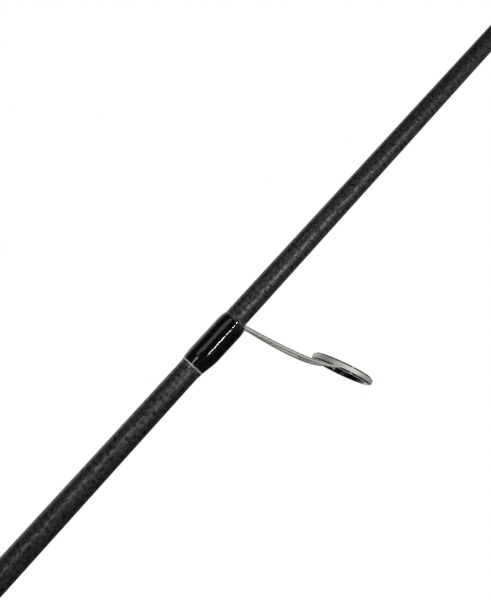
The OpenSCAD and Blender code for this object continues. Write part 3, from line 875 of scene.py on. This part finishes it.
def course(curve, t):
    """Unit direction of a cubic curve at a share of its run."""
    d = bezier(curve, min(t + 0.01, 1)) - bezier(curve, max(t - 0.01, 0))
    return d / np.linalg.norm(d)


def heading(angle):
    """Unit vector in the guide's plane, at an angle above +X."""
    return np.array([math.cos(angle), 0, math.sin(angle)])


def leg_curve(g):
    """Control points of the leg's centre line, from inside the blank to the side of the collar."""
    foot = np.array([g.base_r - 0.4, 0, g.leg_z])
    top = g.centre - 0.32 * g.size / 2 * RING_UP - 0.27 * g.collar_len * RING_AXIS
    reach = np.linalg.norm(top - foot)
    return [foot, foot + 0.6 * reach * heading(LEAN - math.radians(3.3)),
            top - 0.15 * reach * heading(LEAN + math.radians(29)), top]


def arms(g):
    """The two arms: they leave the foot together and spread to tangents on the collar."""
    curve = leg_curve(g)
    half = g.foot_width / 2
    ring = g.size / 2
    drop = g.height * (math.cos(LEAN) + LEG_SLOPE * math.sin(LEAN)) + 1.5
    bearing = math.pi - math.atan(half / drop) - math.acos(ring / math.hypot(drop, half))
    slope = (ring * math.sin(bearing) - half) / (ring * math.cos(bearing) + drop)
    inset = g.arm_width * math.hypot(1, slope)
    shares = np.linspace(0, 1, 40)
    shells = []
    for sign in (-1, 1):
        path, across, up = [], [], []
        for t in shares:
            p = bezier(curve, t)
            d = course(curve, t)
            outer = half + ((p - g.centre) @ RING_UP + drop) * slope
            path.append(p + SIDE * sign * max(outer - inset / 2, inset * 0.3))
            across.append(SIDE)
            up.append(np.array([-d[2], 0, d[0]]))
        thick = [g.sheet * (1.42 - 0.5 * t) for t in shares]
        shells.append(sweep(path, across, up, [inset] * len(path), thick))
    return shells


def foot(g):
    """Tapered foot under the winding, sunk a little into the blank so that the arms join it."""
    z1 = g.leg_z + 0.1
    z0 = g.leg_z - g.foot_len
    toe_height, sunk = 0.15, 0.4
    path, width, height = [], [], []
    for t in np.linspace(0, 1, 24):
        z = z0 + (z1 - z0) * t
        top = blank_radius(z) + toe_height + (g.foot_height - toe_height) * min(1.0, t / 0.6)
        bottom = blank_radius(z) - sunk
        path.append(np.array([(top + bottom) / 2, 0, z]))
        width.append(g.foot_width * (0.5 + 0.5 * min(1.0, t / 0.4)))
        height.append(top - bottom)
    across = [SIDE] * len(path)
    up = [np.array([1.0, 0, 0])] * len(path)
    return sweep(path, across, up, width, height, power=4)


def collar(g):
    """Rounded metal ring round the ceramic."""
    half = g.collar_len / 2
    outline = [(g.collar_bore, -half), (g.size / 2, -half), (g.size / 2, half), (g.collar_bore, half)]
    return in_ring(g.centre, turned(rounded(outline, [0.1, 0.22, 0.3, 0.1], 6), 192))


def insert(g):
    """Ceramic ring: square in the collar, round-nosed where the line runs."""
    half = g.collar_len / 2 + g.lip
    nose = (g.collar_bore - g.insert_bore) / 2
    middle = g.insert_bore + nose
    low = arc(middle, -half + nose, nose, -math.pi / 2, -math.pi)
    high = arc(middle, half - nose, nose, math.pi, math.pi / 2)
    outline = [(g.collar_bore, -half), *low, *high, (g.collar_bore, half)]
    return in_ring(g.centre, turned(outline, 192))


def guide(number):
    """One guide: metal frame, ceramic ring, winding and clear coat."""
    g = Guide(number)
    body = frame_body(g.name + "_frame")
    skin = joined(g.name + "_metal", [collar(g), *arms(g), foot(g)])
    piece(g.name + "_metal", skin, body, GUIDE, [g.name + "_frame"])
    piece(g.name + "_ceramic", [insert(g)], body, CERAMIC, [g.name + "_insert"])
    piece(g.name + "_thread", [wound(g.wrap_z, g.wrap_top, THREAD_THICK, g.lift)],
          body, THREAD, [g.name + "_wrap"], 60)
    coat = coated(g.wrap_z - 1.0 - 0.057 * g.size, g.leg_z + 0.3, THREAD_THICK + g.coat + 0.05, g.lift,
                  ramp_in=1 + 0.2 * g.size, ramp_out=0.8 + 0.15 * g.size)
    piece(g.name + "_coat", [coat], body, EPOXY, [g.name + "_epoxy"], 60)
    return g


def trim(g):
    """Four turns of metallic thread against the butt end of the winding."""
    turns, pitch, thick = 4, 0.18, 0.24
    z0 = g.wrap_z - turns * pitch
    return wound(z0, g.wrap_z, thick, flat_lift, pitch=pitch, rows=6, around=240, beads=60)


def trim_bands(name, guides, body, cad_node):
    """The metallic bands of some guides, as one piece."""
    piece(name, [trim(g) for g in guides], body, METAL_THREAD, [cad_node], 60)


GUIDES = [guide(number) for number in range(1, 7)]
trim_bands("guide_1_trim_band", GUIDES[:1], "butt_section", "guide_1_trim")
trim_bands("guide_trim_bands", GUIDES[1:], "tip_section", "tip_trims")


# ---- tip-top ----

TIP_TUBE_R = 1.75


def tip_tube(z0, z1):
    """Drawn tube with a domed end, closed over the top of the blank."""
    r, edge, rise, gap = TIP_TUBE_R, 0.2, 1.1, 0.02
    dome = [(r * math.cos(a), z1 - rise + rise * math.sin(a)) for a in np.linspace(0, math.pi / 2, 10)]
    bore_top = ROD_TOP + gap
    outline = [(blank_radius(z0) + gap, z0), (r - edge, z0), (r, z0 + edge), *dome[:-1], (0, z1),
               (0, bore_top), (blank_radius(ROD_TOP) + gap, bore_top)]
    return turned(outline, 96)


def tip_strut(ring, tube_z, sign):
    """Round bar from the tube's side to the side of the collar, laid along both for a little way."""
    out = SIDE * sign
    start = np.array([0.3, sign * (TIP_TUBE_R - 0.4), tube_z + 3.2])
    end = ring.centre + 0.1 * RING_UP + out * (ring.size / 2 - 0.3) - 0.1 * RING_AXIS
    leaving = start + np.array([0.1, 0, 3.4])
    arriving = end - 2.6 * RING_UP - out * 0.9 - 1.2 * RING_AXIS
    curve = [start, leaving, arriving, end]
    full, tapered = 0.85, 4
    path, up, across = [], [], []
    for t in np.linspace(0, 1, 28):
        d = course(curve, t)
        side = np.cross(d, np.array([-d[2], 0, d[0]]))
        path.append(bezier(curve, t))
        across.append(side / np.linalg.norm(side))
        up.append(np.cross(across[-1], d))
    thick = [full * (1 - 0.45 * (1 - min(1.0, i / tapered))) for i in range(len(path))]
    return sweep(path, across, up, thick, thick, power=2.2)


def tip_gusset(ring, tube_top):
    """Small web between the tube's dome and the near side of the collar."""
    near = ring.centre - (ring.size / 2 - 0.2) * RING_UP
    path = [np.array([0.9, 0, tube_top - 2.6]), np.array([1.3, 0, tube_top - 1.2]), near]
    forward = np.array([1.0, 0, 0])
    return sweep(path, [SIDE] * 3, [forward] * 3, [1.3, 1.4, 1.6], [1.0, 1.0, 0.5])


def tip_top():
    """Tube over the blank's end, two struts and a gusset that carry the last ring."""
    ring = LineRing("tip_top")
    tube_z, tube_top = box("tip_top_frame")[0][2], ROD_TOP + 2
    struts = [tip_strut(ring, tube_z, sign) for sign in (-1, 1)]
    shells = [collar(ring), tip_tube(tube_z, tube_top), *struts, tip_gusset(ring, tube_top)]
    skin = joined("tip_top_metal", shells)
    piece("tip_top_metal", skin, "tip_section", GUIDE, ["tip_top_frame"])
    piece("tip_top_ceramic", [insert(ring)], "tip_section", CERAMIC, ["tip_top_insert"])


tip_top()


# ---- CAD pieces that keep their own shape ----

KEPT = {
    "spigot": (WAXED, "spigot"),
    "rear_arbor": (FOAM, "arbor_foam"),
    "front_arbor": (FOAM, "arbor_foam"),
    "hood_liner": (SEAT, "seat_plastic"),
    "keeper_base": (GUIDE, "guide_metal"),
    "keeper_loop": (GUIDE, "guide_metal"),
}
for cad_name, (material, slot) in KEPT.items():
    kept = frame["nodes"][cad_name]
    kept.data.materials.clear()
    kept.data.materials.append(material)


# ---- floor, light and camera ----

def floor():
    """Plain pale floor that the butt cap stands on."""
    half = 8.0
    corners = [(-half, -half, 0), (half, -half, 0), (half, half, 0), (-half, half, 0)]
    mesh = bpy.data.meshes.new("floor")
    mesh.from_pydata(corners, [], [(0, 1, 2, 3)])
    obj = placed("floor", mesh)
    material, tree, shader = shader_of("pale_floor", Roughness=0.9, Specular_IOR_Level=0.0)
    shader.inputs["Base Color"].default_value = (0.8, 0.8, 0.8, 1)
    shader.inputs["Emission Color"].default_value = (1, 1, 1, 1)
    shader.inputs["Emission Strength"].default_value = 0.86
    mesh.materials.append(material)
    obj.visible_glossy = False
    obj.visible_diffuse = False


LAMP_DISTANCE = 1.0


def lamp(name, azimuth, low, high, width, radiance):
    """Soft box, in metres, that faces the rod; azimuth turns from -Y towards +X, in degrees."""
    a = math.radians(azimuth)
    middle = Vector((math.sin(a) * LAMP_DISTANCE, -math.cos(a) * LAMP_DISTANCE, (low + high) / 2))
    data = bpy.data.lights.new(name, "AREA")
    data.shape = "RECTANGLE"
    data.size = width
    data.size_y = high - low
    data.energy = radiance * math.pi * width * (high - low)
    obj = placed(name, data)
    obj.location = middle
    facing = Vector((-middle.x, -middle.y, 0))
    obj.rotation_mode = "QUATERNION"
    obj.rotation_quaternion = facing.to_track_quat("-Z", "Y")
    obj.visible_camera = False


def share_of(tree, value, low, high, top=1.0, curve="SMOOTHSTEP"):
    """Goes from 0 where the value is low to top where it is high."""
    inputs = [(0, value), (1, low), (2, high), (3, 0.0), (4, top)]
    return node(tree, "ShaderNodeMapRange", inputs, interpolation_type=curve).outputs[0]


def sky():
    """White to the camera. As light, a bright backdrop behind the rod and a dim room in front of it."""
    world = bpy.data.worlds.new("studio")
    bpy.context.scene.world = world
    world.use_nodes = True
    tree = world.node_tree
    tree.nodes.clear()
    way = node(tree, "ShaderNodeTexCoord").outputs["Generated"]
    x, y, z = node(tree, "ShaderNodeSeparateXYZ", [(0, way)]).outputs
    backdrop = share_of(tree, calc(tree, "MULTIPLY_ADD", x, -0.35, y), 0.35, 1.0)
    height = calc(tree, "MULTIPLY_ADD", x, -0.67, calc(tree, "MULTIPLY", z, 0.74))
    side = share_of(tree, height, -0.6, -0.15)
    right = share_of(tree, x, 0.1, 0.7, top=0.2, curve="LINEAR")
    room_level = 0.037
    room = calc(tree, "MULTIPLY_ADD", side, right, room_level)
    total = calc(tree, "ADD", backdrop, room)
    white = (1, 1, 1, 1)
    seen = node(tree, "ShaderNodeBackground", [(0, white), (1, 1.0)]).outputs[0]
    felt = node(tree, "ShaderNodeBackground", [(0, white), (1, total)]).outputs[0]
    is_camera = node(tree, "ShaderNodeLightPath").outputs["Is Camera Ray"]
    both = node(tree, "ShaderNodeMixShader", [(0, is_camera), (1, felt), (2, seen)]).outputs[0]
    node(tree, "ShaderNodeOutputWorld", [(0, both)])


def camera():
    """Close on the first guide, a little below it, turned so that the rod runs up to the right."""
    azimuth, elevation, roll = (math.radians(a) for a in (-2.1, -9.2, 42.4))
    distance = 0.2
    aside, above_leg = -2.04, 8.3
    target = Vector((aside * MM, 0, (GUIDES[0].leg_z + above_leg) * MM))
    level = math.cos(elevation)
    back = Vector((math.sin(azimuth) * level, -math.cos(azimuth) * level, math.sin(elevation)))
    right = Vector((math.cos(azimuth), math.sin(azimuth), 0))
    up = back.cross(right)
    turned_right = right * math.cos(roll) + up * math.sin(roll)
    turned_up = up * math.cos(roll) - right * math.sin(roll)
    data = bpy.data.cameras.new("camera")
    data.lens = 31.1
    data.clip_start = 0.01
    obj = placed("camera", data)
    spot = target + back * distance
    obj.matrix_world = Matrix((
        (turned_right.x, turned_up.x, back.x, spot.x),
        (turned_right.y, turned_up.y, back.y, spot.y),
        (turned_right.z, turned_up.z, back.z, spot.z),
        (0, 0, 0, 1)))
    bpy.context.scene.camera = obj


floor()
sky()
camera()
lamp("strip_light", azimuth=19.0, low=0.615, high=1.35, width=0.045, radiance=41)
lamp("broad_light", azimuth=-39.5, low=0.64, high=1.2, width=0.5, radiance=0.9)
lamp("low_light", azimuth=-21, low=0.03, high=0.58, width=0.27, radiance=3.7)
bpy.context.scene.view_settings.view_transform = "Standard"
